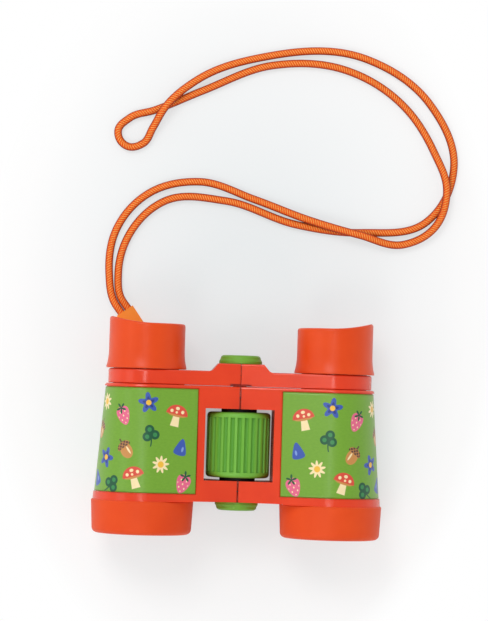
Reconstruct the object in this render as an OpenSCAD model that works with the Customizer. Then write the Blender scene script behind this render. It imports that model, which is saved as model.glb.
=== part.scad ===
// Toy binoculars: two barrels on a split centre hinge, with a ribbed wheel whose screw
// drives the eyepiece bridge, winged eyecups and a looped neck cord laid out on the table.
// +X points right, +Y towards the eyepieces and +Z up. The open hinge lies flat.

/* [Hinge] */
// Distance between the two barrel axes when the hinge is open
axis_spacing = 70; // [66:1:84]
// Angle through which the right half folds down
fold_max = 80; // [40:5:84]
// Angle left between the two halves at full fold
fold_clear = 4; // [3:1:8]
// Gap along the centre seam of the bodies
seam_gap = 0.6; // [0.4:0.1:1]
// Gap along the centre seam of the eyepiece arms
arm_seam = 0.3; // [0.3:0.05:0.6]
// Wall of the hinge bush
bush_wall = 1; // [0.8:0.1:1.6]
// Wall of a hinge knuckle
knuckle_wall = 2.4; // [2:0.1:3.2]
// Gap round and between the knuckles
knuckle_gap = 0.35; // [0.3:0.05:0.5]
// Thickness of the hub shell outside the knuckles
hub_skin = 2.6; // [2:0.1:3.4]
// Length of the front hinge bridge
front_bridge = 7.8; // [6:0.2:11]
// Length of the rear hinge bridge
rear_bridge = 8.3; // [6:0.1:11]
// Distance of the front bridge behind the barrel's front edge
hub_setback = 0.3; // [0.2:0.1:1]
// Depth to which pin and bush enter the wheel
journal_depth = 4; // [3:0.5:5]

/* [Body shells] */
// Wall of a body shell under its label
shell_wall = 1.8; // [1.4:0.1:2.2]

/* [Focus] */
// Radius of the focus screw
screw_r = 2.5; // [2:0.1:3]
// Length of the focus screw inside the wheel
screw_reach = 13; // [11:0.5:15]
// Outer radius of the focus wheel
wheel_r = 11.8; // [11:0.1:12.5]
// Length of the focus wheel
wheel_len = 24.2; // [21:0.2:30]
// Number of grooves round the wheel
wheel_grooves = 28; // [24:1:34]
// Depth of a wheel groove
groove_depth = 0.8; // [0.5:0.05:0.9]
// Radius of a groove's section
groove_r = 0.85; // [0.7:0.05:0.95]
// Plain rim at each end of the wheel
wheel_rim = 2; // [1.8:0.1:3]
// Rounding of the wheel's rims
rim_round = 1.4; // [0.8:0.1:1.6]
// Radius of a thrust washer
washer_r = 6.6; // [5.4:0.1:7.5]
// Thickness of a thrust washer
washer_t = 1.1; // [0.8:0.1:1.6]
// Axial play at each face of a washer
end_play = 0.05; // [0.04:0.01:0.1]
// Gap between the wheel and the sides of its window
window_gap = 0.9; // [0.6:0.1:1.8]
// Radius of the two end caps of the hinge
end_cap_r = 8; // [7:0.1:9]
// Height of an end cap
end_cap_h = 3.1; // [2.8:0.1:4]
// Rounding of an end cap's edge
end_cap_round = 1.3; // [0.6:0.1:1.6]

/* [Objective end] */
// Radius of the objective lens
lens_r = 15; // [14:0.1:16]
// Edge thickness of the objective lens
lens_edge = 2.4; // [2:0.1:3]
// Bulge of each face of the objective lens
lens_sag = 1.2; // [0.8:0.1:1.6]
// Width of the flat rim of a lens and of the step that carries it
lens_rim = 0.8; // [0.6:0.1:1.2]
// Wall of the spigot round the lens
seat_wall = 1.85; // [1.6:0.05:2.4]
// Length of the spigot in the cap
spigot_len = 7; // [5:0.2:8]
// Wall of the objective cap
cap_wall = 2.05; // [1.8:0.05:2.6]
// Length of the objective cap
cap_len = 12.5; // [11:0.1:16]
// Thickness of the lip that holds the lens
lip_t = 1.2; // [0.8:0.1:1.4]
// Radius of the cap's mouth beyond the lens radius
mouth_step = 0.6; // [0.4:0.1:1]
// Narrowing of the cap towards its front
cap_taper = 0.5; // [0.2:0.1:0.9]
// Rounding of the cap's front edge
cap_round = 2; // [0.8:0.1:2.2]
// Step from the cap down to the body shell
cap_step = 0.5; // [0.3:0.1:0.9]

/* [Eyepiece end] */
// Radius of the eyepiece tube
tube_r = 12.2; // [11.6:0.1:12.8]
// Wall of the eyepiece tube
tube_wall = 1.6; // [1.2:0.1:2]
// Length of the tube in front of the eyepiece arm
tube_in = 14; // [13:0.5:18]
// Length of the tube behind the eyepiece arm
tube_out = 7.4; // [6.5:0.1:9]
// Length of the rear bore that guides the tube
guide_len = 7; // [5:0.5:8]
// Wall of the barrel round that bore
rear_wall = 2.84; // [2.5:0.02:3.4]
// Thickness of an eyepiece arm
arm_t = 5.4; // [4.5:0.1:7]
// Wall of the arm's ring round the tube
ring_wall = 1.75; // [1.4:0.05:2.2]
// Height of the raised hub behind the arms
hub_rise = 2.9; // [2.4:0.1:4]
// Half width of the raised hub at its top
hub_half = 8.4; // [8:0.1:8.9]
// Radius of the hollow at the foot of the raised hub
hub_hollow = 1.8; // [1:0.1:2.4]
// Slope of the raised hub's flanks
hub_slope = 50; // [40:5:70]
// Half width of the notch over the hinge
notch_half = 3.9; // [3:0.1:5]
// Depth of that notch in the front of the arms
notch_depth = 0.8; // [0.3:0.1:1]
// Radius of the ocular lens
ocular_r = 8; // [7:0.1:9]
// Edge thickness of the ocular lens
ocular_edge = 2; // [1.6:0.1:2.4]
// Hollow of each face of the ocular lens
ocular_sag = 0.6; // [0.4:0.05:0.7]
// Thickness of the tube's end wall under the lens
end_wall = 1.2; // [1:0.1:1.6]
// Length of an eyecup without its wing
cup_len = 16.8; // [15:0.1:20]
// Wall of an eyecup
cup_wall = 1.75; // [1.3:0.05:2]
// Flare at an eyecup's foot
cup_flare = 0.8; // [0.3:0.1:0.9]
// Height of the wing on the outer side
wing_rise = 2.3; // [0.5:0.1:4]
// Thickness of the web that holds the ocular lens
cup_web = 1.2; // [1:0.1:2]

/* [Labels] */
// Depth of the recess for a label
recess_depth = 0.65; // [0.5:0.05:0.8]
// Thickness of a label
label_t = 0.3; // [0.2:0.05:0.4]
// Groove round a label
label_groove = 0.3; // [0.2:0.05:0.5]
// Plain band in front of a label
label_front = 3.1; // [2.5:0.1:6]
// Plain band behind a label
label_rear = 1.4; // [1.2:0.1:4]
// Strip between a label and the wheel's window
label_strip = 2.9; // [1.5:0.1:4]
// Angle under the barrel at which a label ends
label_wrap = 250; // [200:5:255]

/* [Neck cord] */
// Diameter of the cord
cord_d = 2.8; // [2.4:0.1:2.8]
// Distance between the two cord ends in the tab
strand_gap = 3; // [3:0.1:3.4]
// Width of the cord tab
tab_w = 7.2; // [6.8:0.1:7.5]
// Height of the tab's head
tab_h = 3.7; // [3.6:0.1:4]
// Length of the tab's head
tab_head = 12; // [8:0.5:16]
// Distance from the tab's mouth to its screw
tab_len = 38; // [36:0.5:39]
// Thickness of the tab's tongue
tongue_t = 1.8; // [1.4:0.1:2]
// Depth to which the cord ends enter the tab
socket_depth = 5; // [3:0.5:7]
// Shank radius of the strap screw
strap_screw_r = 1.2; // [1:0.1:1.4]
// Head radius of the strap screw
strap_head_r = 2.8; // [2.4:0.1:3]
// Head height of the strap screw
strap_head_t = 1.2; // [1:0.1:1.2]
// Distance of the strap screw from the barrel axis, towards the hinge
strap_offset = 13; // [12:0.1:13.5]
// Length of the strap screw inside its boss
strap_bite = 4; // [3:0.5:5]

/* [Fits] */
// Radial clearance of turning and sliding parts
run_clear = 0.06; // [0.04:0.01:0.1]
// Radial clearance of parts pushed together
push_clear = 0.05; // [0.03:0.01:0.08]
// Gap between neighbouring parts of different bodies
part_gap = 0.2; // [0.15:0.05:0.4]
// Gap between faces that meet when the eyepieces are drawn in
rest_gap = 0.1; // [0.08:0.01:0.2]
// Rounding of the moulded outer edges
edge_round = 0.8; // [0.4:0.1:1]

/* [Hidden] */
$fn = 72;
far = 2 * axis_spacing;
half = axis_spacing / 2;

// Radii, from the inside out
bush_r = screw_r + run_clear + bush_wall;
journal_r = bush_r + run_clear;
knuckle_r = journal_r + knuckle_wall;
hollow_r = knuckle_r + knuckle_gap;
hub_r = hollow_r + hub_skin;
hub_wrap = (180 - fold_max - fold_clear) / 2;
seat_r = lens_r + push_clear;
spigot_r = seat_r + seat_wall;
socket_r = spigot_r + push_clear;
cap_r = socket_r + cap_wall;
mouth_r = lens_r + mouth_step;
clear_r = lens_r - lens_rim;
barrel_front_r = cap_r - cap_step;
guide_r = tube_r + run_clear;
barrel_rear_r = guide_r + rear_wall;
arm_ring_r = tube_r + push_clear + ring_wall;
cup_bore_r = tube_r + 3 * push_clear;
cup_r = cup_bore_r + cup_wall;
ocular_hole_r = ocular_r - lens_rim;
axis_z = cap_r;
window_half = wheel_r + window_gap;
label_edge = window_half + label_strip;

// Stations along the object, centred on its length
window_len = wheel_len + 2 * (washer_t + 2 * end_play);
body_len = hub_setback + front_bridge + window_len + rear_bridge;
total_len = cap_len + body_len + rest_gap + arm_t + part_gap + cup_len + wing_rise;
cap_y = -total_len / 2;
body_y = cap_y + cap_len;
spigot_y = body_y - spigot_len;
seat_y = spigot_y + lens_edge + push_clear;
bridge_y = body_y + hub_setback;
window_y = bridge_y + front_bridge;
wheel_y = window_y + washer_t + 2 * end_play;
wheel_end_y = wheel_y + wheel_len;
window_end_y = window_y + window_len;
rear_y = window_end_y + rear_bridge;
guide_y = rear_y - guide_len;
arm_y = rear_y + rest_gap;
arm_end_y = arm_y + arm_t;
hub_end_y = arm_end_y + hub_rise;
cup_y = arm_end_y + part_gap;
tube_end_y = arm_end_y + tube_out;
ocular_y = tube_end_y - ocular_edge;
cup_floor = tube_end_y - cup_y + push_clear;

// Cord tab: its mouth, its heading and its heights
tab_turn = -55;
strap_at = [strap_offset - half, rear_y - tab_w / 2 - part_gap];
tab_mouth = strap_at - tab_len * [cos(tab_turn), sin(tab_turn)];
tab_bottom = 0.1;
tab_top = tab_bottom + tab_h;
cord_z = tab_bottom + tab_h / 2;
tongue_z = strap_head_t + 0.4;

// Cord route between the two mouths of the tab, as points on the table
cord_at = [0.9, -0.6, 0.1];
cord_free = [
    [-51, 57, 1.3], [-49, 73.5, 1.3], [-37, 88, 1.3], [-18, 93, 1.3], [3, 87, 1.3],
    [24, 79.7, 3.2], [43, 74.7, 4.4], [60, 71.7, 2], [71.5, 78.3, 2.8], [75.7, 92, 4.4],
    [70.5, 107.5, 1.9], [59.3, 123.7, 1.3], [36, 137.3, 1.3], [8, 138, 1.3], [-18, 127.5, 1.3],
    [-36, 119.5, 1.3], [-45, 116.4, 1.3], [-49.4, 111.1, 1.3], [-45.8, 105.6, 1.3],
    [-39.7, 106.9, 1.3], [-36.2, 112.9, 2.5], [-32, 120.4, 4.4], [-20, 131.5, 3],
    [5, 141.2, 1.3], [44, 141.7, 1.3], [68.7, 125.3, 1.3], [78.4, 101, 1.3], [68.5, 80.5, 1.3],
    [44, 75.7, 1.3], [19, 78, 1.3], [-8, 86.1, 1.3], [-31, 85.2, 1.3], [-44, 72, 1.3],
    [-47.6, 57, 1.3]
];
cord_route = concat(
    [for (i = [1:-1:-1]) cord_end(i * socket_depth, -1)],
    [for (p = cord_free) p + cord_at],
    [for (i = [-1:1]) cord_end(i * socket_depth, 1)]
);
cord_steps = 3;
cord_sides = 8;

// Colours
gloss_orange = "#e5482a";
matte_orange = "#e8562c";
leaf_green = "#60b23c";
label_green = "#7dbb3a";
tab_orange = "#f38221";
cord_orange = "#f06a2a";
clear_glass = "#dce8ec";
near_black = "#222222";
steel_grey = "#b4b8bc";

// Points of an arc, from angle a0 to angle a1
function arc(cx, cy, r, a0, a1, n) =
    [for (i = [0:n]) let (a = a0 + (a1 - a0) * i / n) [cx + r * cos(a), cy + r * sin(a)]];

// Outline of a barrel and the hinge hub with their common tangents, hub at the origin
function teardrop(barrel, hub) =
    let (lean = asin((barrel - hub) / half))
    concat(
        arc(-half, 0, barrel, 90 - lean, 270 + lean, 40),
        arc(0, 0, hub, lean - 90, 90 - lean, 10)
    );

// The same outline as a ring of points at station y, moved inwards by inset
function section(y, barrel, inset) =
    [for (p = teardrop(barrel - inset, hub_r - inset)) [p[0], y, p[1]]];

function barrel_at(y) =
    barrel_front_r + (barrel_rear_r - barrel_front_r) * (y - body_y) / body_len;

// Height of a body's underside between barrel and hub
function underside(x, y) =
    let (lean = asin((barrel_at(y) - hub_r) / half))
    axis_z - (hub_r - x * sin(lean)) / cos(lean);

// A point of the cord tab, at a distance along it and to its side
function tab_point(along, side) = [
    tab_mouth[0] + along * cos(tab_turn) - side * sin(tab_turn),
    tab_mouth[1] + along * sin(tab_turn) + side * cos(tab_turn)
];

function cord_end(along, side) =
    let (p = tab_point(along, side * strand_gap / 2)) [p[0], p[1], cord_z];

function unit(v) = v / norm(v);

// Heading of the circle through three points, at the middle one
function heading(a, b, c) = unit((b - a) / pow(norm(b - a), 2) + (c - b) / pow(norm(c - b), 2));

// A smooth curve through the points of a route, arc by arc, at a place counted in points
function along_route(p, place) =
    let (
        i = min(floor(place), len(p) - 2),
        t = place - i,
        b = p[i],
        c = p[i + 1],
        start = i > 0 ? heading(p[i - 1], b, c) : unit(c - b),
        end = i + 2 < len(p) ? heading(b, c, p[i + 2]) : unit(c - b),
        reach = norm(c - b) / pow(cos(acos(min(start * end, 1)) / 4), 2)
    )
    b + t * t * (3 - 2 * t) * (c - b) + t * (1 - t) * reach * ((1 - t) * start - t * end);

// The cord's middle line, never lower than where it lies on the table
function cord_place(place) =
    let (p = along_route(cord_route, place)) [p[0], p[1], max(p[2], cord_d / 2)];

// Solid through rings of points, with flat ends or closed on itself
module skin(rings, closed = false) {
    count = len(rings);
    sides = len(rings[0]);
    last = closed ? count - 1 : count - 2;
    walls = [
        for (i = [0:last], j = [0:sides - 1])
            let (
                a = i * sides + j,
                b = i * sides + (j + 1) % sides,
                c = ((i + 1) % count) * sides + (j + 1) % sides,
                d = ((i + 1) % count) * sides + j
            )
            each [[a, b, c], [a, c, d]]
    ];
    ends = closed ? [] : [
        [for (j = [sides - 1:-1:0]) j],
        [for (j = [0:sides - 1]) (count - 1) * sides + j]
    ];
    polyhedron([for (r = rings) each r], concat(walls, ends), convexity = 8);
}

// Stations of a rounded front and rear end, each with its inset
function rounded_front(y, round) =
    [for (a = [90:-30:0]) [y + round * (1 - sin(a)), round * (1 - cos(a))]];

function rounded_rear(y, round) =
    [for (a = [0:30:90]) [y - round * (1 - sin(a)), round * (1 - cos(a))]];

module along_y(y = 0) {
    translate([0, y, 0]) rotate([-90, 0, 0]) children();
}

module rod(r, y0, y1) {
    along_y(y0) cylinder(r = r, h = y1 - y0);
}

// A flat outline in X and Z, drawn out from y0 to y1
module slab(y0, y1) {
    translate([0, y1, 0]) rotate([90, 0, 0]) linear_extrude(height = y1 - y0) children();
}

// A profile of radius and station, turned about the Y axis
module turned(profile) {
    rotate([-90, 0, 0]) rotate_extrude() polygon(profile);
}

module on_hinge() {
    translate([0, 0, axis_z]) children();
}

module on_barrel() {
    translate([-half, 0, axis_z]) children();
}

module right_hand() {
    mirror([1, 0, 0]) children();
}

// The side of the hinge that the other half keeps, past half of the seam
module other_half(seam) {
    slab(cap_y, total_len)
        polygon([
            [-seam / 2, far],
            [-seam / 2, 0],
            [far * cos(180 + hub_wrap), far * sin(180 + hub_wrap)],
            [far, -far],
            [far, far]
        ]);
}

// Hinge bridge between two stations: own knuckle in one half of it, hollow in the other
module hollow_for_knuckle(y0, y1, own_first) {
    middle = (y0 + y1) / 2;
    if (own_first) rod(hollow_r, middle - knuckle_gap / 2, y1 + hub_setback);
    else rod(hollow_r, y0 - hub_setback, middle + knuckle_gap / 2);
}

module own_knuckle(y0, y1, own_first) {
    middle = (y0 + y1) / 2;
    if (own_first) rod(knuckle_r, y0, middle - knuckle_gap / 2);
    else rod(knuckle_r, middle + knuckle_gap / 2, y1);
}

// Outside of a body shell, moved inwards by inset
module body_form(inset) {
    stations = concat([[body_y, 0]], rounded_rear(rear_y, edge_round));
    skin([for (s = stations) section(s[0], barrel_at(s[0]), inset + s[1])]);
}

// Zone of a body shell that its label covers
module label_zone(groove) {
    slab(body_y + label_front - groove, rear_y - label_rear + groove)
        polygon([
            [-label_edge + groove, far],
            [-label_edge + groove, 0],
            [-half, 0],
            [-half + far * cos(label_wrap), far * sin(label_wrap)],
            [-half - far, -far],
            [-half - far, far]
        ]);
}

module barrel_bore() {
    turned([
        [0, spigot_y - 1],
        [seat_r, spigot_y - 1],
        [seat_r, seat_y],
        [clear_r, seat_y],
        [guide_r, guide_y],
        [guide_r, rear_y + 1],
        [0, rear_y + 1]
    ]);
}

// Hollow of a body shell, between its front wall and the guide of the eyepiece tube
module shell_hollow() {
    intersection() {
        body_form(recess_depth + shell_wall);
        translate([-far, body_y + shell_wall, -far])
            cube([far - window_half - shell_wall, guide_y - body_y - shell_wall, 2 * far]);
    }
}

module body_shell(own_first) {
    on_hinge() difference() {
        union() {
            difference() {
                body_form(0);
                other_half(seam_gap);
                hollow_for_knuckle(bridge_y, window_y, own_first);
                hollow_for_knuckle(window_end_y, rear_y, own_first);
                difference() {
                    label_zone(label_groove);
                    body_form(recess_depth);
                }
            }
            own_knuckle(bridge_y, window_y, own_first);
            own_knuckle(window_end_y, rear_y, own_first);
            translate([-half, 0, 0]) rod(spigot_r, spigot_y, body_y + lens_rim);
        }
        shell_hollow();
        translate([-half, 0, 0]) barrel_bore();
        rod(journal_r, cap_y, total_len);
        translate([-window_half, window_y, -far]) cube([far, window_len, 2 * far]);
        translate([barrel_front_r - half, cap_y, -far]) cube([far, bridge_y - cap_y, 2 * far]);
    }
}

module strap_boss() {
    top = underside(strap_at[0], strap_at[1]) + edge_round;
    bottom = tongue_z + tongue_t;
    translate([strap_at[0], strap_at[1], bottom]) cylinder(r = tab_w / 2, h = top - bottom);
}

module strap_screw_hole() {
    translate([strap_at[0], strap_at[1], 0])
        cylinder(r = strap_screw_r + push_clear, h = tongue_z + tongue_t + strap_bite + push_clear);
}

module left_body() {
    color(gloss_orange) difference() {
        union() {
            body_shell(true);
            strap_boss();
        }
        strap_screw_hole();
    }
}

module right_body() {
    color(gloss_orange) right_hand() body_shell(false);
}

module body_label() {
    color(label_green) on_hinge() difference() {
        intersection() {
            body_form(recess_depth - label_t);
            label_zone(0);
        }
        body_form(recess_depth - push_clear);
    }
}

module left_label() {
    body_label();
}

module right_label() {
    right_hand() body_label();
}

module objective_cap() {
    front_r = cap_r - cap_taper;
    lip_y = spigot_y - push_clear - lip_t;
    color(matte_orange) on_barrel() turned(concat(
        [
            [socket_r, body_y],
            [socket_r, lip_y + lip_t],
            [clear_r, lip_y + lip_t],
            [clear_r, lip_y],
            [mouth_r, lip_y]
        ],
        arc(mouth_r + edge_round / 2, cap_y + edge_round / 2, edge_round / 2, 180, 270, 4),
        arc(front_r - cap_round, cap_y + cap_round, cap_round, 270, 360, 6),
        [[cap_r, body_y - edge_round / 2], [cap_r - edge_round / 2, body_y]]
    ));
}

module left_objective_cap() {
    objective_cap();
}

module right_objective_cap() {
    right_hand() objective_cap();
}

// Height of a lens face above its rim at radius x, hollow where the bulge is negative
function lens_rise(x, r, bulge) =
    let (ball = (r * r + bulge * bulge) / (2 * abs(bulge)))
    sign(bulge) * (abs(bulge) - ball + sqrt(ball * ball - x * x));

// A lens with two like faces and a flat rim, from station y
module lens(y, r, edge, bulge) {
    inner = r - lens_rim;
    steps = 8;
    face = [for (i = [0:steps]) let (x = inner * i / steps) [x, lens_rise(x, inner, bulge)]];
    turned(concat(
        [for (p = face) [p[0], y - p[1]]],
        [[r, y], [r, y + edge]],
        [for (i = [steps:-1:0]) [face[i][0], y + edge + face[i][1]]]
    ));
}

module objective_lens() {
    color(clear_glass) on_barrel() lens(spigot_y, lens_r, lens_edge, lens_sag);
}

module left_objective_lens() {
    objective_lens();
}

module right_objective_lens() {
    right_hand() objective_lens();
}

module arm_form(front, rear) {
    skin([for (s = concat(front, rear)) section(s[0], arm_ring_r, s[1])]);
}

// Raised hub behind the arms, with sloped flanks that run out in a hollow
module raised_hub() {
    straight = hub_rise - hub_hollow * (1 - cos(hub_slope));
    foot = hub_half + hub_hollow * sin(hub_slope) + straight / tan(hub_slope);
    half_outline = concat(
        [[0, arm_end_y - edge_round], [foot, arm_end_y - edge_round]],
        arc(foot, arm_end_y + hub_hollow, hub_hollow, 270, 270 - hub_slope, 5),
        [[hub_half, hub_end_y], [0, hub_end_y]]
    );
    intersection() {
        arm_form([[arm_y + edge_round, 0]], rounded_rear(hub_end_y, edge_round));
        translate([0, 0, -far]) linear_extrude(height = 2 * far) mirror([1, 0]) polygon(half_outline);
    }
}

module eyepiece_arm(own_first) {
    color(gloss_orange) on_hinge() difference() {
        union() {
            difference() {
                union() {
                    arm_form(rounded_front(arm_y, edge_round / 2), rounded_rear(arm_end_y, edge_round));
                    raised_hub();
                }
                other_half(arm_seam);
                hollow_for_knuckle(arm_y, hub_end_y, own_first);
                translate([-notch_half, arm_y - 1, hollow_r]) cube([far, 1 + notch_depth, far]);
            }
            own_knuckle(arm_y, hub_end_y, own_first);
        }
        rod(screw_r + run_clear, cap_y, total_len);
        translate([-half, 0, 0]) rod(tube_r + push_clear, cap_y, total_len);
    }
}

module left_eyepiece_arm() {
    eyepiece_arm(true);
}

module right_eyepiece_arm() {
    right_hand() eyepiece_arm(false);
}

module eyepiece_tube() {
    bore_r = tube_r - tube_wall;
    color(gloss_orange) on_barrel() turned([
        [bore_r, arm_y - tube_in],
        [tube_r, arm_y - tube_in],
        [tube_r, tube_end_y],
        [ocular_r + push_clear, tube_end_y],
        [ocular_r + push_clear, ocular_y],
        [ocular_hole_r, ocular_y],
        [ocular_hole_r, ocular_y - end_wall],
        [bore_r, ocular_y - end_wall]
    ]);
}

module left_eyepiece_tube() {
    eyepiece_tube();
}

module right_eyepiece_tube() {
    right_hand() eyepiece_tube();
}

// Section of an eyecup at an angle about its axis, as radius and height
function cup_profile(wing) =
    let (
        rim = cup_wall / 2,
        top = cup_len + wing - rim,
        foot_r = cup_r + cup_flare,
        web_top = cup_floor + cup_web
    )
    concat(
        [[cup_bore_r, 0], [foot_r, 0], [foot_r, 0.6]],
        [for (h = [2:1.5:6.5]) [cup_r + cup_flare * pow((6.5 - h) / 6, 2), h]],
        arc(cup_r - rim, top, rim, 0, 180, 6),
        [
            [cup_r - cup_wall - 0.2, web_top + 2],
            [cup_r - cup_wall - 1.2, web_top],
            [ocular_hole_r, web_top],
            [ocular_hole_r, cup_floor],
            [cup_bore_r, cup_floor]
        ]
    );

// Height of the wing at an angle: flat on the nose side, a hollow rise on the outer side
function wing_at(a) =
    let (reach = max(0, 0.2 - cos(a)) / 1.2) wing_rise * reach * reach;

module eyecup() {
    steps = 48;
    color(matte_orange) on_barrel() skin([
        for (i = [0:steps - 1])
            let (a = -360 * i / steps)
            [for (p = cup_profile(wing_at(a))) [p[0] * cos(a), cup_y + p[1], p[0] * sin(a)]]
    ], closed = true);
}

module left_eyecup() {
    eyecup();
}

module right_eyecup() {
    right_hand() eyecup();
}

module ocular_lens() {
    color(clear_glass) on_barrel() lens(ocular_y, ocular_r, ocular_edge, -ocular_sag);
}

module left_ocular_lens() {
    ocular_lens();
}

module right_ocular_lens() {
    right_hand() ocular_lens();
}

module hinge_pin() {
    color(steel_grey) on_hinge() rod(bush_r, bridge_y - rest_gap - end_cap_h / 2, wheel_y + journal_depth);
}

module hinge_bush() {
    color(steel_grey) on_hinge() difference() {
        rod(bush_r, wheel_end_y - journal_depth, rear_y);
        rod(screw_r + run_clear, cap_y, total_len);
    }
}

// End cap of the hinge, with a blind bore in its flat face for a rod
function end_cap_profile(bore_r) = concat(
    [
        [0, end_cap_h / 2 + push_clear],
        [bore_r, end_cap_h / 2 + push_clear],
        [bore_r, 0],
        [end_cap_r, 0],
        [end_cap_r, (end_cap_h - end_cap_round) / 2]
    ],
    arc(end_cap_r - cap_taper - end_cap_round, end_cap_h - end_cap_round, end_cap_round, 0, 90, 5),
    [[0, end_cap_h]]
);

module front_cap() {
    color(leaf_green) on_hinge() translate([0, bridge_y - rest_gap, 0]) mirror([0, 1, 0])
        turned(end_cap_profile(bush_r + push_clear));
}

module rear_cap() {
    color(leaf_green) on_hinge() translate([0, hub_end_y + rest_gap, 0])
        turned(end_cap_profile(screw_r + push_clear));
}

module focus_wheel() {
    groove_at = wheel_r - groove_depth + groove_r;
    color(leaf_green) on_hinge() difference() {
        turned(concat(
            [[0, wheel_y]],
            arc(wheel_r - rim_round, wheel_y + rim_round, rim_round, -90, 0, 5),
            arc(wheel_r - rim_round, wheel_end_y - rim_round, rim_round, 0, 90, 5),
            [[0, wheel_end_y]]
        ));
        for (i = [0:wheel_grooves - 1])
            rotate([0, 360 * i / wheel_grooves, 0]) translate([groove_at, 0, 0])
                rod(groove_r, wheel_y + wheel_rim, wheel_end_y - wheel_rim);
        rod(screw_r + run_clear, cap_y, total_len);
        rod(journal_r, wheel_y - 1, wheel_y + journal_depth + end_play);
        rod(journal_r, wheel_end_y - journal_depth - end_play, wheel_end_y + 1);
    }
}

module focus_screw() {
    color(steel_grey) on_hinge() rod(screw_r, wheel_end_y - screw_reach, hub_end_y + rest_gap + end_cap_h / 2);
}

module washer(y) {
    color(near_black) on_hinge() difference() {
        rod(washer_r, y, y + washer_t);
        rod(journal_r, y - 1, y + washer_t + 1);
    }
}

module front_washer() {
    washer(window_y + end_play);
}

module rear_washer() {
    washer(wheel_end_y + end_play);
}

// Outline of the tab's tongue and eye, seen from above with the mouth at the origin
module tongue_outline() {
    translate([0, -tab_w / 2]) square([tab_len, tab_w]);
    translate([tab_len, 0]) circle(d = tab_w);
}

module cord_tab() {
    socket_r = cord_d / 2 + push_clear;
    color(tab_orange) difference() {
        translate([tab_mouth[0], tab_mouth[1], 0]) rotate([0, 0, tab_turn]) difference() {
            union() {
                translate([0, -tab_w / 2, tab_bottom]) cube([tab_head, tab_w, tab_h]);
                translate([0, 0, tongue_z]) linear_extrude(height = tongue_t) tongue_outline();
            }
            for (side = [-1, 1])
                translate([0, side * strand_gap / 2, cord_z]) rotate([0, 90, 0])
                    cylinder(r = socket_r, h = 2 * socket_depth + 2 * push_clear, center = true);
        }
        translate([strap_at[0], strap_at[1], 0]) cylinder(r = strap_screw_r + push_clear, h = tab_top);
    }
}

module strap_screw() {
    color(steel_grey) translate([strap_at[0], strap_at[1], tongue_z - strap_head_t]) {
        cylinder(r = strap_head_r, h = strap_head_t);
        cylinder(r = strap_screw_r, h = strap_head_t + tongue_t + strap_bite);
    }
}

module neck_cord() {
    last = len(cord_route) - 1;
    step = 0.01;
    color(cord_orange) skin([
        for (i = [0:last * cord_steps])
            let (
                place = i / cord_steps,
                at = cord_place(place),
                behind = cord_place(max(place - step, 0)),
                ahead = cord_place(min(place + step, last)),
                way = unit(ahead - behind),
                side = unit(cross(way, [0, 0, 1])),
                up = cross(side, way)
            )
            [
                for (j = [0:cord_sides - 1])
                    let (a = 360 * (j + 0.5) / cord_sides)
                    at + cord_d / 2 * (cos(a) * side + sin(a) * up)
            ]
    ]);
}

left_body();
right_body();
left_label();
right_label();
left_objective_cap();
right_objective_cap();
left_objective_lens();
right_objective_lens();
left_eyepiece_arm();
right_eyepiece_arm();
left_eyepiece_tube();
right_eyepiece_tube();
left_eyecup();
right_eyecup();
left_ocular_lens();
right_ocular_lens();
hinge_pin();
hinge_bush();
front_cap();
rear_cap();
focus_wheel();
focus_screw();
front_washer();
rear_washer();
cord_tab();
strap_screw();
neck_cord();
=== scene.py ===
import math

import bmesh
import bpy
from mathutils import Matrix, Vector


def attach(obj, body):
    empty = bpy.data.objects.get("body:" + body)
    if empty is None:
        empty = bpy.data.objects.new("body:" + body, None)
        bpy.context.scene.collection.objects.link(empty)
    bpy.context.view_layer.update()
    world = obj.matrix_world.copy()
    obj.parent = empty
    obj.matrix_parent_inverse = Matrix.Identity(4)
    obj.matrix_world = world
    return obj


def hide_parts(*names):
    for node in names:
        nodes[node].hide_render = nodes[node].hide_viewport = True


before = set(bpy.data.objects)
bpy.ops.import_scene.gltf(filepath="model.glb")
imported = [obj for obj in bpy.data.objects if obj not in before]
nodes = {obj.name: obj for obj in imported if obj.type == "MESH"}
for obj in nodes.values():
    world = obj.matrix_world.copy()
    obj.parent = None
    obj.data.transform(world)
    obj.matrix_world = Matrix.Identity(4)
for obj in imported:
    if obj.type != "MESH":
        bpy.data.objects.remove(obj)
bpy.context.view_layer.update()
scene = bpy.context.scene
scene.view_settings.view_transform = "Standard"
mm = 0.001
plainWhite = (1.0, 1.0, 1.0, 1.0)
noiseMiddle = 0.5

# camera high above the table, a little to the left, turned as in the photograph
cameraSet = {
    "at": (-40.0, 14.7, 1119.0),  # millimetres
    "aim": (0.64, 43.75, 19.0),
    "lens": 171.37,
    "turn": 1.79,  # degrees
    "farthest": 20.0,  # metres
}

cameraData = bpy.data.cameras.new("tableCamera")
cameraData.lens = cameraSet["lens"]
cameraData.clip_end = cameraSet["farthest"]
camera = bpy.data.objects.new("tableCamera", cameraData)
camera.location = Vector(cameraSet["at"]) * mm
backward = (Vector(cameraSet["at"]) - Vector(cameraSet["aim"])).normalized()
rightward = Vector((0.0, 1.0, 0.0)).cross(backward).normalized()
upright = Matrix((rightward, backward.cross(rightward), backward)).transposed()
tilt = Matrix.Rotation(math.radians(cameraSet["turn"]), 3, "Z")
camera.rotation_euler = (upright @ tilt).to_euler()
scene.collection.objects.link(camera)
scene.camera = camera
print("camera set")


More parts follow.
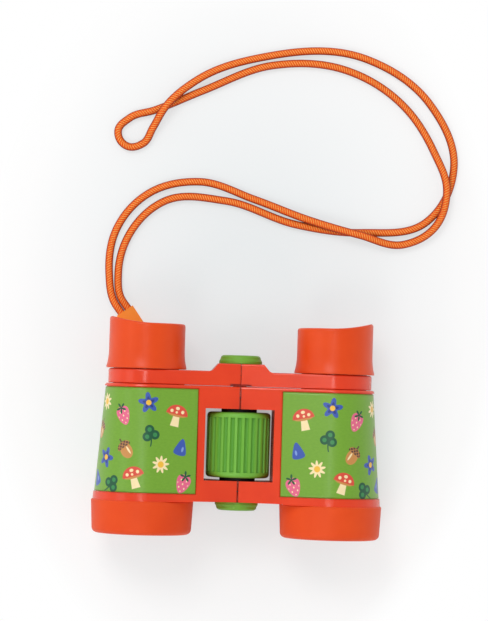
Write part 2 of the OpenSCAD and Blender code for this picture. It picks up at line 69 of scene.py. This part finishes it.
# a socket that takes part in sums, so that shader maths reads as maths
class Wire:
    def __init__(self, tree, socket=None):
        self.tree = tree
        self.socket = socket

    def node(self, kind, settings=None, values=None, out=0):
        made = self.tree.nodes.new("ShaderNode" + kind)
        for key, value in (settings or {}).items():
            setattr(made, key, value)
        for key, value in (values or {}).items():
            if isinstance(value, Wire):
                self.tree.links.new(value.socket, made.inputs[key])
            else:
                made.inputs[key].default_value = value
        return Wire(self.tree, made.outputs[out] if made.outputs else None)

    def maths(self, operation, *others):
        return self.node("Math", {"operation": operation}, dict(enumerate((self, *others))))

    def vectors(self, operation, *others, out=0):
        values = dict(enumerate((self, *others)))
        return self.node("VectorMath", {"operation": operation}, values, out)

    def __add__(self, other):
        return self.maths("ADD", other)

    __radd__ = __add__

    def __sub__(self, other):
        return self.maths("SUBTRACT", other)

    def __rsub__(self, other):
        return self.maths("MULTIPLY_ADD", -1.0, other)

    def __mul__(self, other):
        return self.maths("MULTIPLY", other)

    __rmul__ = __mul__

    def __abs__(self):
        return self.maths("ABSOLUTE")

    def over(self, other):
        return self.maths("MAXIMUM", other)

    def under(self, other):
        return self.maths("MINIMUM", other)

    def length(self):
        return self.vectors("LENGTH", out=1)

    # gain times the value plus lift, held between 0 and 1
    def clamped(self, gain=1.0, lift=0.0):
        settings = {"operation": "MULTIPLY_ADD", "use_clamp": True}
        return self.node("Math", settings, {0: self, 1: gain, 2: lift})

    def parts(self):
        split = self.node("SeparateXYZ", None, {0: self})
        outputs = split.socket.node.outputs
        return [Wire(self.tree, outputs[i]) for i in range(3)]

    # a Mix node's colours are its inputs 6 and 7 and its output 2
    def blend(self, below, above):
        settings = {"data_type": "RGBA"}
        return self.node("Mix", settings, {"Factor": self, 6: below, 7: above}, 2)

    def noise(self, scale, detail=2.0):
        return self.node("TexNoise", None, {"Vector": self, "Scale": scale, "Detail": detail})


# a screen colour, 0 to 255, as the linear light that shaders take
def tint(red, green, blue):
    def linear(level):
        share = level / 255.0
        return share / 12.92 if share <= 0.04045 else ((share + 0.055) / 1.055) ** 2.4

    return (linear(red), linear(green), linear(blue), 1.0)


def newMaterial(name):
    made = bpy.data.materials.new(name)
    made.use_nodes = True
    made.node_tree.nodes.clear()
    return made, Wire(made.node_tree)


def finishMaterial(start, values):
    surface = start.node("BsdfPrincipled", None, values)
    start.node("OutputMaterial", None, {"Surface": surface})


# Object coordinates are the fourth output of Texture Coordinate
def pieceCoordinates(start):
    return start.node("TexCoord", None, None, 3)


def bumped(start, height, strength, depth):
    return start.node("Bump", None, {"Height": height, "Strength": strength, "Distance": depth})


# what all the plastics share: scale and detail of clouds and smudges, and how strong they are
mouldSet = {
    "cloud": (70.0, 3.0),
    "contrast": (2.4, -0.7),
    "smudge": (420.0, 4.0),
    "haze": 0.10,
    "bump": 0.5,
    "shine": 0.4,
    "coat": 0.0,
    "coatRough": 0.12,
}

# moulded plastics: two close tints, a little haze and a fine skin
plasticSet = {
    "glossOrange": {"light": (236, 66, 26), "deep": (226, 58, 22), "rough": 0.24, "haze": 0.08,
                    "skin": 900.0, "skinDepth": 0.00001, "coat": 0.15},
    "softOrange": {"light": (236, 80, 24), "deep": (228, 72, 20), "rough": 0.5,
                   "skin": 3600.0, "skinDepth": 0.00003, "shine": 0.24},
    "cupOrange": {"light": (235, 78, 20), "deep": (227, 70, 16), "rough": 0.34,
                  "skin": 3600.0, "skinDepth": 0.00003, "shine": 0.3},
    "wheelGreen": {"light": (116, 172, 49), "deep": (104, 160, 43), "rough": 0.42,
                   "skin": 3000.0, "skinDepth": 0.00003},
    # painted light and shade on the wheel: lighter on the rib tops and darker in the grooves, by the distance
    # from the wheel's axis in millimetres
    "wheelGreenGrooveShade": {"light": (116, 184, 62), "deep": (80, 150, 44), "rough": 0.42,
                  "skin": 3000.0, "skinDepth": 0.00003,
                  "axis": (0.0, 0.0, 19.0), "floor": 10.9, "top": 11.6, "grooveShadeShare": 0.8},
    "tabOrange": {"light": (255, 150, 38), "deep": (250, 138, 32), "rough": 0.48,
                  "skin": 5200.0, "skinDepth": 0.00005},
    "washerBlack": {"light": (36, 36, 38), "deep": (22, 22, 24), "rough": 0.60, "haze": 0.12,
                    "skin": 4200.0, "skinDepth": 0.00004},
}


def plastic(name):
    choice = {**mouldSet, **plasticSet[name]}
    made, start = newMaterial(name)
    place = pieceCoordinates(start)
    cloud = place.noise(*choice["cloud"])
    smudge = place.noise(*choice["smudge"])
    skin = place.noise(choice["skin"])
    share = cloud.clamped(*choice["contrast"])
    # painted shade in the wheel's grooves: the colour darkens from the rib tops towards the groove floor
    if "axis" in choice:
        spoke = place.vectors("SUBTRACT", Vector(choice["axis"]) * mm)
        reach = spoke.vectors("MULTIPLY", (1.0, 0.0, 1.0)).length()
        depth = (choice["top"] - choice["floor"]) * mm
        grooveShade = reach.clamped(1.0 / depth, -choice["floor"] * mm / depth)
        share = share * (1.0 - choice["grooveShadeShare"]) + grooveShade * choice["grooveShadeShare"]
    finishMaterial(start, {
        "Base Color": share.blend(tint(*choice["deep"]), tint(*choice["light"])),
        "Roughness": (smudge - noiseMiddle) * choice["haze"] + choice["rough"],
        "Normal": bumped(start, skin, choice["bump"], choice["skinDepth"]),
        "Specular IOR Level": choice["shine"],
        "Coat Weight": choice["coat"],
        "Coat Roughness": choice["coatRough"],
    })
    return made


finishes = {name: plastic(name) for name in plasticSet}
print("plastics made:", len(finishes))


# neck cord: one loop through the tab, laid on the table in millimetres as in the CAD source
cordSet = {
    "diameter": 2.9,
    "sides": 18,
    "step": 0.5,
    "fineSteps": 40,
    "strandGap": 3.0,
    "socket": 5.0,
    "height": 1.95,
    "tabLength": 38.0,
    "tabTurn": math.radians(-55.0),
    "strapAt": (-22.0, 11.55),
    "shift": (0.9, -0.6, 0.1),
    "free": [
        (-51, 57, 1.3), (-49, 73.5, 1.3), (-37, 88, 1.3), (-18, 93, 1.3), (3, 87, 1.3),
        (24, 79.7, 3.2), (43, 74.7, 4.4), (60, 71.7, 2), (71.5, 78.3, 2.8), (75.7, 92, 4.4),
        (70.5, 107.5, 1.9), (59.3, 123.7, 1.3), (36, 137.3, 1.3), (8, 138, 1.3), (-18, 127.5, 1.3),
        (-36, 119.5, 1.3), (-45, 116.4, 1.3), (-49.4, 111.1, 1.3), (-45.8, 105.6, 1.3),
        (-39.7, 106.9, 1.3), (-36.2, 112.9, 2.5), (-32, 120.4, 4.4), (-20, 131.5, 3),
        (5, 141.2, 1.3), (44, 141.7, 1.3), (68.7, 125.3, 1.3), (78.4, 101, 1.3), (68.5, 80.5, 1.3),
        (44, 75.7, 1.3), (19, 78, 1.3), (-8, 86.1, 1.3), (-31, 85.2, 1.3), (-44, 72, 1.3),
        (-47.6, 57, 1.3),
    ],
    # the braid: strands round the cord, length of one cross, and how fine its fibres are
    "braid": 5.0,
    "pitch": 0.95,
    "fibres": (2600.0, 60.0, 1.0),
    # gain and lift of what makes a fleck, which is kept to the top as a painted highlight, and of the painted
    # shade on the flanks
    "fleckStrand": (1.3, -0.1),
    "fleckCrown": (2.4, -1.4),
    "fleckFibre": (1.0, 0.4),
    "flankShade": (1.4, -0.3),
    "strandShade": 0.3,
    "fibreShade": 0.3,
    "evenShade": 0.6,
    # light is the colour of the pale flecks with a painted highlight, deep the colour of the painted shade on
    # the flanks
    "light": (255, 190, 92),
    "main": (248, 92, 20),
    "deep": (132, 34, 8),
    "rough": 0.62,
    "fleckGloss": 0.14,
    "shine": 0.2,
    "bump": 0.6,
    "fleckBump": 0.5,
    "bumpDepth": 0.0002,
}


# a point of the cord in its tab, at a distance along the socket, on one side or the other
def cordEnd(along, side):
    turn = cordSet["tabTurn"]
    ahead = Vector((math.cos(turn), math.sin(turn)))
    across = Vector((-math.sin(turn), math.cos(turn)))
    place = Vector(cordSet["strapAt"]) + ahead * (along - cordSet["tabLength"])
    place += across * side * cordSet["strandGap"] / 2
    return Vector((*place, cordSet["height"]))


# the way of the circle through three points, at the middle one
def heading(a, b, c):
    return ((b - a) / (b - a).length_squared + (c - b) / (c - b).length_squared).normalized()


def cordRoute():
    depth = cordSet["socket"]
    points = [cordEnd(i * depth, -1) for i in (1, 0, -1)]
    points += [Vector(p) + Vector(cordSet["shift"]) for p in cordSet["free"]]
    points += [cordEnd(i * depth, 1) for i in (-1, 0, 1)]
    fine = []
    for i in range(len(points) - 1):
        b, c = points[i], points[i + 1]
        start = heading(points[i - 1], b, c) if i > 0 else (c - b).normalized()
        end = heading(b, c, points[i + 2]) if i + 2 < len(points) else (c - b).normalized()
        reach = (c - b).length / math.cos(start.angle(end) / 4) ** 2
        for k in range(cordSet["fineSteps"]):
            t = k / cordSet["fineSteps"]
            bend = reach * ((1 - t) * start - t * end)
            fine.append(b + t * t * (3 - 2 * t) * (c - b) + t * (1 - t) * bend)
    fine.append(points[-1])
    # never lower than where it lies on the table
    for point in fine:
        point.z = max(point.z, cordSet["diameter"] / 2)
    reached = [0.0]
    for a, b in zip(fine, fine[1:]):
        reached.append(reached[-1] + (b - a).length)
    # the same line again, in even steps
    count = round(reached[-1] / cordSet["step"])
    even = []
    k = 0
    for i in range(count + 1):
        goal = reached[-1] * i / count
        while k < len(fine) - 2 and reached[k + 1] < goal:
            k += 1
        share = (goal - reached[k]) / (reached[k + 1] - reached[k])
        even.append(fine[k].lerp(fine[k + 1], share) * mm)
    return even, reached[-1] * mm


def pieceFrom(work, name, material, body, *stoodFor):
    mesh = bpy.data.meshes.new(name)
    work.to_mesh(mesh)
    work.free()
    for leftover in ("custom_normal", "sharp_edge", "sharp_face"):
        if leftover in mesh.attributes:
            mesh.attributes.remove(mesh.attributes[leftover])
    mesh.materials.clear()
    mesh.materials.append(material)
    mesh.shade_smooth()
    piece = bpy.data.objects.new(name, mesh)
    scene.collection.objects.link(piece)
    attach(piece, body)
    if stoodFor:
        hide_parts(*stoodFor)
    return piece


# a flat grid with its own UV map, laid by place(share, share) and welded where it meets itself
def laidGrid(columns, rows, place):
    half = 0.5
    weld = 1e-6
    work = bmesh.new()
    work.loops.layers.uv.new("UVMap")
    bmesh.ops.create_grid(work, x_segments=columns, y_segments=rows, size=half, calc_uvs=True)
    for vert in work.verts:
        vert.co = place(vert.co.x + half, vert.co.y + half)
    bmesh.ops.remove_doubles(work, verts=work.verts, dist=weld)
    return work


# braid in colour and bump: pale flecks of one hand, kept to the crown as a painted highlight, and painted
# shade towards the flanks
def cordMaterial(travel):
    made, start = newMaterial("braidedCord")
    uv = start.node("UVMap", {"uv_map": "UVMap"})
    along, around, _ = uv.parts()
    turns = around * (cordSet["braid"] * math.tau)
    pull = along * (travel / (cordSet["pitch"] * mm) * math.tau)
    leftHand = (turns + pull).maths("SINE")
    rightHand = (turns - pull).maths("SINE")
    strand = abs(leftHand).over(abs(rightHand))
    fibre = uv.vectors("MULTIPLY", cordSet["fibres"]).noise(1.0)
    crown = (around * math.tau).maths("SINE")
    # the flecks are pale braid, and also a painted highlight where they are kept to the crown
    fleckAndHighlight = leftHand.clamped(*cordSet["fleckStrand"]) * crown.clamped(*cordSet["fleckCrown"])
    fleckAndHighlight = fleckAndHighlight * fibre.clamped(*cordSet["fleckFibre"])
    weave = strand * cordSet["strandShade"] + fibre * cordSet["fibreShade"] + cordSet["evenShade"]
    # painted shade: darker towards the flanks, where the cord turns away from the light above
    shade = crown.clamped(*cordSet["flankShade"]) * weave
    colour = shade.clamped().blend(tint(*cordSet["deep"]), tint(*cordSet["main"]))
    height = strand + fleckAndHighlight * cordSet["fleckBump"]
    finishMaterial(start, {
        "Base Color": fleckAndHighlight.clamped().blend(colour, tint(*cordSet["light"])),
        "Roughness": cordSet["rough"] - fleckAndHighlight * cordSet["fleckGloss"],
        "Normal": bumped(start, height, cordSet["bump"], cordSet["bumpDepth"]),
        "Specular IOR Level": cordSet["shine"],
    })
    return made


route, cordTravel = cordRoute()


def cordPlace(alongShare, aroundShare):
    i = round(alongShare * (len(route) - 1))
    way = (route[min(i + 1, len(route) - 1)] - route[max(i - 1, 0)]).normalized()
    side = way.cross(Vector((0, 0, 1))).normalized()
    up = side.cross(way)
    turn = aroundShare * math.tau
    return route[i] + (side * math.cos(turn) + up * math.sin(turn)) * cordSet["diameter"] / 2 * mm


work = laidGrid(len(route) - 1, cordSet["sides"], cordPlace)
bmesh.ops.holes_fill(work, edges=[e for e in work.edges if e.is_boundary], sides=0)
bmesh.ops.recalc_face_normals(work, faces=work.faces)
neckCord = pieceFrom(work, "neckCord", cordMaterial(cordTravel), "left_half", "neck_cord")
print("cord laid, metres:", round(cordTravel, 4))


# copies of the CAD solids: width of an edge's rounding in millimetres,
# and the angle in degrees from which an edge is hard
copySet = {
    "shell": (0.22, 28.0),
    "arm": (0.25, 28.0),
    "cup": (0.12, 60.0),
    "tab": (0.3, 28.0),
    "segments": 2,
    "weld": 2e-6,  # metres
    "flat": 0.4,  # degrees
    "sharp": 38.0,
}


# a piece from a CAD solid, merged, with its hard edges rounded as a mould leaves them
def roundedCopy(node, name, finish, body, edge):
    width, hard = copySet[edge]
    work = bmesh.new()
    work.from_mesh(nodes[node].data)
    bmesh.ops.remove_doubles(work, verts=work.verts, dist=copySet["weld"])
    flat = math.radians(copySet["flat"])
    bmesh.ops.dissolve_limit(work, angle_limit=flat, verts=work.verts, edges=work.edges)
    edges = [e for e in work.edges if e.is_manifold and e.calc_face_angle() > math.radians(hard)]
    bmesh.ops.bevel(work, geom=edges, offset=width * mm, offset_type="OFFSET", affect="EDGES",
                    segments=copySet["segments"], profile=0.5, material=-1, clamp_overlap=True)
    piece = pieceFrom(work, name, finishes[finish], body, node)
    piece.data.set_sharp_from_angle(angle=math.radians(copySet["sharp"]))
    weighted = piece.modifiers.new("evenShade", "WEIGHTED_NORMAL")
    weighted.keep_sharp = True
    return piece


for side in ("left", "right"):
    half = side + "_half"
    sight = side + "_eyepiece"
    roundedCopy(side + "_body", side + "Body", "glossOrange", half, "shell")
    roundedCopy(side + "_eyepiece_arm", side + "Arm", "glossOrange", sight, "arm")
    roundedCopy(side + "_eyecup", side + "Cup", "cupOrange", sight, "cup")
    print(side, "shell, arm and eyecup rounded")

cordTab = roundedCopy("cord_tab", "cordTab", "tabOrange", "left_half", "tab")
cordExit = route[round(len(route) * cordSet["socket"] * mm / cordTravel)]
tuple(cordExit)
print("tab rounded, cord tied to it")


# clear lenses with a faint smear
lensSet = {
    "deep": (222, 234, 238),
    "light": (240, 246, 248),
    "smear": (180.0, 4.0),
    "rough": (0.08, 0.01),
    "bend": 1.49,
}


def clearLens():
    made, start = newMaterial("clearLens")
    smear = pieceCoordinates(start).noise(*lensSet["smear"])
    finishMaterial(start, {
        "Base Color": smear.blend(tint(*lensSet["deep"]), tint(*lensSet["light"])),
        "Roughness": smear.clamped(*lensSet["rough"]),
        "Transmission Weight": 1.0,
        "IOR": lensSet["bend"],
    })
    return made


# steel with fine lines across the hinge, as a lathe leaves them
steelSet = {
    "deep": (58, 60, 62),
    "light": (84, 86, 88),
    "lines": (60.0, 5200.0, 60.0),
    "rough": 0.36,
    "haze": 0.2,
    "bump": 0.3,
    "bumpDepth": 0.00002,
}


def turnedSteel():
    made, start = newMaterial("turnedSteel")
    lines = pieceCoordinates(start).vectors("MULTIPLY", steelSet["lines"]).noise(1.0)
    finishMaterial(start, {
        "Base Color": lines.blend(tint(*steelSet["deep"]), tint(*steelSet["light"])),
        "Roughness": lines * steelSet["haze"] + steelSet["rough"],
        "Metallic": 1.0,
        "Normal": bumped(start, lines, steelSet["bump"], steelSet["bumpDepth"]),
    })
    return made


finishes["clearLens"] = clearLens()
finishes["turnedSteel"] = turnedSteel()

# CAD nodes that stay, by their finish
nodeFinishes = {
    "softOrange": ("left_objective_cap", "right_objective_cap"),
    "clearLens": ("left_objective_lens", "right_objective_lens", "left_ocular_lens", "right_ocular_lens"),
    "glossOrange": ("left_eyepiece_tube", "right_eyepiece_tube"),
    "wheelGreenGrooveShade": ("focus_wheel",),
    "wheelGreen": ("front_cap", "rear_cap"),
    "washerBlack": ("front_washer", "rear_washer"),
    "turnedSteel": ("hinge_pin", "hinge_bush", "focus_screw", "strap_screw"),
}
for finish, names in nodeFinishes.items():
    for name in names:
        for slot in nodes[name].material_slots:
            slot.material = finishes[finish]
print("CAD nodes finished")


# printed labels, laid on the barrels a little under the shell's surface, in millimetres
labelSet = {
    "front": -24.55,
    "rear": 13.95,
    "inner": -15.6,
    "wrap": math.radians(250.0),
    "axis": -35.0,
    "height": 19.0,
    "hub": 8.97,
    "barrelFront": 18.5,
    "barrelRear": 15.1,
    "bodyFront": -27.65,
    "bodyRear": 15.35,
    "sink": 0.35,
    "thick": 0.3,
    "columns": 120,
    "rows": 48,
    # the printed ground, and how the ink's edges wander
    "repeat": 47.0,
    "ground": (120, 170, 47),
    "groundDeep": (110, 161, 42),
    "stretch": (0.5, 1.1, 1.0),
    "brush": (1.6, 4.0),
    "contrast": (2.0, -0.5),
    "grain": (9.0, 3.0),
    "wander": 0.16,
    "inkEdge": (-9.0, 0.5),
    "rough": 0.34,
    "haze": 0.08,
    "bump": 0.2,
    "bumpDepth": 0.00001,
    "coat": 0.12,
    "coatRough": 0.2,
}


# run of the label across one section: radius, angle where the arc starts, flat part and whole length
def labelRun(y):
    share = (y - labelSet["bodyFront"]) / (labelSet["bodyRear"] - labelSet["bodyFront"])
    barrel = labelSet["barrelFront"] + (labelSet["barrelRear"] - labelSet["barrelFront"]) * share
    lean = math.asin((barrel - labelSet["hub"]) / -labelSet["axis"])
    radius = barrel - labelSet["sink"]
    top = math.pi / 2 - lean
    flat = (labelSet["inner"] - labelSet["axis"] - radius * math.cos(top)) / math.sin(top)
    return radius, top, flat, flat + radius * (labelSet["wrap"] - top)


def labelPlace(mirror):
    def place(across, along):
        y = labelSet["front"] + (labelSet["rear"] - labelSet["front"]) * along
        radius, top, flat, length = labelRun(y)
        gone = across * length
        if gone < flat:
            x = labelSet["inner"] - gone * math.sin(top)
            z = radius * math.sin(top) - (flat - gone) * math.cos(top)
        else:
            angle = top + (gone - flat) / radius
            x = labelSet["axis"] + radius * math.cos(angle)
            z = radius * math.sin(angle)
        return Vector((x * mirror, y, z + labelSet["height"])) * mm

    return place


inkSet = {
    "coral": (220, 76, 56),
    "cream": (250, 228, 176),
    "blue": (56, 88, 176),
    "paleBlue": (128, 160, 216),
    "deepBlue": (34, 56, 130),
    "yellow": (244, 190, 60),
    "tan": (206, 142, 74),
    "brown": (94, 62, 50),
    "pink": (232, 104, 140),
    "deepGreen": (18, 86, 54),
    "midGreen": (52, 138, 76),
}

# motifs in millimetres about their own middle: an oval is x, y and half its width and height,
# petals are a count, a reach and a wave, and a bar is half its width, its middle and half its height
motifSet = {
    "toadstool": {
        "stem": (1.15, -1.7, 2.3), "stemSpread": 0.12, "gills": (0.0, 0.35, 3.4, 0.75),
        "cap": (0.0, 0.4, 4.1, 3.6), "brim": 0.4,
        "dots": ((-2.0, 1.7, 0.6, 0.65), (0.1, 2.7, 0.75, 0.6), (2.1, 1.5, 0.6, 0.6), (0.2, 1.2, 0.45, 0.45)),
    },
    "flower": {"petals": (5, 2.9, 1.0), "heart": (5, 1.6, 0.7), "eye": (0.0, 0.0, 1.0, 1.0)},
    "daisy": {"petals": (9, 2.5, 0.75), "eye": (0.0, 0.0, 1.15, 1.15)},
    "acorn": {
        "stalk": (0.3, 3.2, 0.9), "nut": (0.0, -0.9, 2.3, 3.0), "glint": (-0.8, -1.2, 0.35, 1.6),
        "cap": (0.0, 0.9, 2.8, 1.9), "brim": 0.5, "hatch": 4.2, "hatchLine": 0.86,
    },
    "strawberry": {
        "fruit": (1.2, -0.13, 0.85, 3.0), "seeds": (3.0, 2.2), "seedLine": 0.72, "seedMargin": 0.5,
        "crown": (5, 1.25, 0.85), "crownAt": (0.0, 2.9, 0.0),
    },
    "clover": {
        "stalk": (0.25, -2.2, 2.2), "bow": 0.06, "spread": (0.87, 0.35),
        "leaves": (("deepGreen", 1.7, 1.75), ("midGreen", 1.75, 0.8)),
    },
    "drop": {"form": (1.25, 0.26, 0.74, 2.3), "glint": (-0.75, -0.7, 0.4, 0.95)},
}

# where the motifs lie on the sheet: across it, along it, and their turn in degrees
printLayout = (
    ("toadstool", 8.0, 28.5, 12.0), ("flower", 18.5, 33.0, 10.0), ("strawberry", 28.0, 28.0, -22.0),
    ("daisy", 37.5, 33.0, 0.0), ("acorn", 41.0, 23.0, 25.0), ("clover", 17.5, 21.5, -15.0),
    ("drop", 6.0, 17.0, 14.0), ("acorn", 27.0, 16.0, -35.0), ("flower", 36.0, 12.5, 40.0),
    ("daisy", 13.5, 10.5, 15.0), ("toadstool", 23.5, 5.5, -16.0), ("strawberry", 5.0, 3.5, 20.0),
    ("clover", 32.5, 3.0, 38.0), ("drop", 42.0, 5.0, -20.0),
)


def labelMaterial():
    made, start = newMaterial("printedLabel")
    acrossShare, alongShare, _ = start.node("UVMap", {"uv_map": "UVMap"}).parts()
    frontRun = labelRun(labelSet["front"])[3]
    rearRun = labelRun(labelSet["rear"])[3]
    across = acrossShare * (alongShare * (rearRun - frontRun) + frontRun)
    across = across.maths("MODULO", labelSet["repeat"])
    along = alongShare * (labelSet["rear"] - labelSet["front"])
    sheet = start.node("CombineXYZ", None, {0: across, 1: along, 2: 0.0})
    brush = sheet.vectors("MULTIPLY", labelSet["stretch"]).noise(*labelSet["brush"])
    grain = sheet.noise(*labelSet["grain"])
    ground = brush.clamped(*labelSet["contrast"])
    colour = ground.blend(tint(*labelSet["groundDeep"]), tint(*labelSet["ground"]))

    # colour inside a shape, which is given as a distance from its outline
    def ink(below, distance, name):
        edge = distance + (grain - noiseMiddle) * labelSet["wander"]
        return edge.clamped(*labelSet["inkEdge"]).blend(below, tint(*inkSet[name]))

    def at(u, v, turn):
        values = {"Vector": sheet, "Location": (u, v, 0.0), "Rotation": (0.0, 0.0, math.radians(turn))}
        return start.node("Mapping", {"vector_type": "TEXTURE"}, values)

    def oval(spot, x, y, wide, tall):
        values = {"Vector": spot, "Location": (x, y, 0.0), "Scale": (wide, tall, 1.0)}
        local = start.node("Mapping", {"vector_type": "TEXTURE"}, values)
        return (local.length() - 1.0) * min(wide, tall)

    def ovals(spot, rows):
        shape = oval(spot, *rows[0])
        for row in rows[1:]:
            shape = shape.under(oval(spot, *row))
        return shape

    def petals(spot, count, reach, wave):
        x, y, _ = spot.parts()
        swing = (y.maths("ARCTAN2", x) * float(count)).maths("COSINE")
        return spot.length() - swing * wave - reach

    def bar(x, y, half, middle, reach):
        return (abs(x) - half).over(abs(y - middle) - reach)

    # an oval that tapers along its height
    def pear(x, y, wide, taper, tall, reach):
        bent = start.node("CombineXYZ", None, {0: x * (y * taper + wide), 1: y * tall, 2: 0.0})
        return bent.length() - reach

    def toadstool(colour, spot, size):
        x, y, _ = spot.parts()
        half, middle, reach = size["stem"]
        colour = ink(colour, bar(x, y, half - y * size["stemSpread"], middle, reach), "cream")
        colour = ink(colour, oval(spot, *size["gills"]), "tan")
        colour = ink(colour, oval(spot, *size["cap"]).over(size["brim"] - y), "coral")
        return ink(colour, ovals(spot, size["dots"]), "cream")

    def flower(colour, spot, size):
        colour = ink(colour, petals(spot, *size["petals"]), "blue")
        colour = ink(colour, petals(spot, *size["heart"]), "deepBlue")
        return ink(colour, oval(spot, *size["eye"]), "yellow")

    def daisy(colour, spot, size):
        colour = ink(colour, petals(spot, *size["petals"]), "cream")
        return ink(colour, oval(spot, *size["eye"]), "yellow")

    def acorn(colour, spot, size):
        x, y, _ = spot.parts()
        colour = ink(colour, bar(x, y, *size["stalk"]), "brown")
        colour = ink(colour, oval(spot, *size["nut"]), "tan")
        colour = ink(colour, oval(spot, *size["glint"]), "cream")
        cap = oval(spot, *size["cap"]).over(size["brim"] - y)
        colour = ink(colour, cap, "brown")
        rising = ((x + y) * size["hatch"]).maths("SINE")
        falling = ((x - y) * size["hatch"]).maths("SINE")
        return ink(colour, cap.over(size["hatchLine"] - rising.over(falling)), "tan")

    def strawberry(colour, spot, size):
        x, y, _ = spot.parts()
        fruit = pear(x, y, *size["fruit"])
        colour = ink(colour, fruit, "pink")
        wide, tall = size["seeds"]
        seeds = (x * wide).maths("COSINE") * (y * tall).maths("COSINE")
        colour = ink(colour, (fruit + size["seedMargin"]).over(size["seedLine"] - seeds), "cream")
        crown = spot.vectors("SUBTRACT", size["crownAt"])
        return ink(colour, petals(crown, *size["crown"]), "deepGreen")

    def clover(colour, spot, size):
        x, y, _ = spot.parts()
        colour = ink(colour, bar(x - y * y * size["bow"], y, *size["stalk"]), "deepGreen")
        aside, below = size["spread"]
        for name, out, reach in size["leaves"]:
            middles = ((0.0, out), (-out * aside, -out * below), (out * aside, -out * below))
            colour = ink(colour, ovals(spot, [(*middle, reach, reach) for middle in middles]), name)
        return colour

    def drop(colour, spot, size):
        x, y, _ = spot.parts()
        colour = ink(colour, pear(x, y, *size["form"]), "blue")
        return ink(colour, oval(spot, *size["glint"]), "paleBlue")

    drawings = {"toadstool": toadstool, "flower": flower, "daisy": daisy, "acorn": acorn,
                "strawberry": strawberry, "clover": clover, "drop": drop}
    for name, u, v, turn in printLayout:
        colour = drawings[name](colour, at(u, v, turn), motifSet[name])
    finishMaterial(start, {
        "Base Color": colour,
        "Roughness": (grain - noiseMiddle) * labelSet["haze"] + labelSet["rough"],
        "Normal": bumped(start, grain, labelSet["bump"], labelSet["bumpDepth"]),
        "Coat Weight": labelSet["coat"],
        "Coat Roughness": labelSet["coatRough"],
    })
    return made


printedLabel = labelMaterial()
for side, mirror in (("left", 1.0), ("right", -1.0)):
    work = laidGrid(labelSet["columns"], labelSet["rows"], labelPlace(mirror))
    if mirror > 0:
        bmesh.ops.reverse_faces(work, faces=work.faces)
    label = pieceFrom(work, side + "Label", printedLabel, side + "_half", side + "_label")
    wall = label.modifiers.new("paper", "SOLIDIFY")
    wall.thickness = labelSet["thick"] * mm
    wall.offset = -1.0
print("labels printed")


# table: pale in an oval round the object, with a painted shadow under its hinge where it keeps less of its
# glow, white towards the edges of the picture
tableSet = {
    "size": 3.0,  # metres, the rest in millimetres and in shares of an oval
    "middle": (1.0, 44.2),
    "oval": (76.0, 110.0),
    "fade": (0.25, 1.15),
    "edge": (1.0, 1.3),
    "pale": (236, 240, 241),
    "speck": (234, 238, 239),
    "white": (0.98, 0.98, 0.98, 1.0),
    "grain": (900.0, 3.0),
    "lift": 0.63,
    # painted shadow: an oval under the hinge keeps less glow, so the table looks darker there
    "under": (0.0, -6.0),
    "shadowOval": (27.0, 26.0),
    "shadowEdge": (0.4, 1.0),
    "shadowLift": 0.34,
}


def tableMaterial():
    made, start = newMaterial("paleTable")
    place = pieceCoordinates(start)

    def reach(middle, oval):
        local = place.vectors("SUBTRACT", Vector((*middle, 0.0)) * mm)
        return local.vectors("DIVIDE", (oval[0] * mm, oval[1] * mm, 1.0)).length()

    def ramp(share, low, high):
        return share.clamped(1.0 / (high - low), -low / (high - low))

    around = reach(tableSet["middle"], tableSet["oval"])
    # painted shadow under the hinge: the share of glow falls inside the oval
    under = ramp(reach(tableSet["under"], tableSet["shadowOval"]), *tableSet["shadowEdge"])
    lift = under * (tableSet["lift"] - tableSet["shadowLift"]) + tableSet["shadowLift"]
    grain = place.noise(*tableSet["grain"])
    pale = grain.blend(tint(*tableSet["speck"]), tint(*tableSet["pale"]))
    colour = ramp(around, *tableSet["fade"]).blend(pale, tableSet["white"])
    beyond = ramp(around, *tableSet["edge"])
    matte = start.node("BsdfDiffuse", None, {"Color": colour})
    glow = start.node("Emission", None, {"Color": beyond.blend(colour, plainWhite), "Strength": 1.0})
    rays = start.node("LightPath").socket.node.outputs
    direct = Wire(start.tree, rays["Is Camera Ray"])
    mirrored = Wire(start.tree, rays["Is Glossy Ray"])
    through = Wire(start.tree, rays["Is Transmission Ray"])
    seen = direct.over(mirrored).over(through)
    share = (direct * lift).over(beyond * seen)
    mixed = start.node("MixShader", None, {0: share, 1: matte, 2: glow})
    start.node("OutputMaterial", None, {"Surface": mixed})
    return made


work = bmesh.new()
bmesh.ops.create_grid(work, x_segments=1, y_segments=1, size=tableSet["size"])
tableMesh = bpy.data.meshes.new("table")
work.to_mesh(tableMesh)
work.free()
tableMesh.materials.append(tableMaterial())
table = bpy.data.objects.new("table", tableMesh)
scene.collection.objects.link(table)

# soft boxes behind, in front, low to the left and above: place and size in metres, and watts
# the room is paler at its walls than overhead
lightSet = {
    "boxes": {
        "softBoxBehind": ((-0.4, 0.8, 1.3), 0.6, 7.4),
        "softBoxFront": ((-0.4, -0.8, 1.3), 0.6, 4.4),
        "softBoxLeft": ((-1.2, 0.2, 0.95), 0.6, 1.0),
        "softBoxAbove": ((-0.12, 0.05, 1.3), 0.16, 0.7),
    },
    "overhead": 0.40,
    "walls": 0.83,
}
for name, (at, size, power) in lightSet["boxes"].items():
    boxData = bpy.data.lights.new(name, "AREA")
    boxData.size = size
    boxData.energy = power
    box = bpy.data.objects.new(name, boxData)
    box.location = at
    box.rotation_euler = (-Vector(at)).to_track_quat("-Z", "Y").to_euler()
    scene.collection.objects.link(box)

world = bpy.data.worlds.new("paleRoom")
scene.world = world
world.use_nodes = True
world.node_tree.nodes.clear()
room = Wire(world.node_tree)
height = abs(room.node("TexCoord", None, None, 0).parts()[2])
strength = height * (lightSet["overhead"] - lightSet["walls"]) + lightSet["walls"]
glow = room.node("Background", None, {"Color": plainWhite, "Strength": strength})
room.node("OutputWorld", None, {"Surface": glow})
print("table and light set")
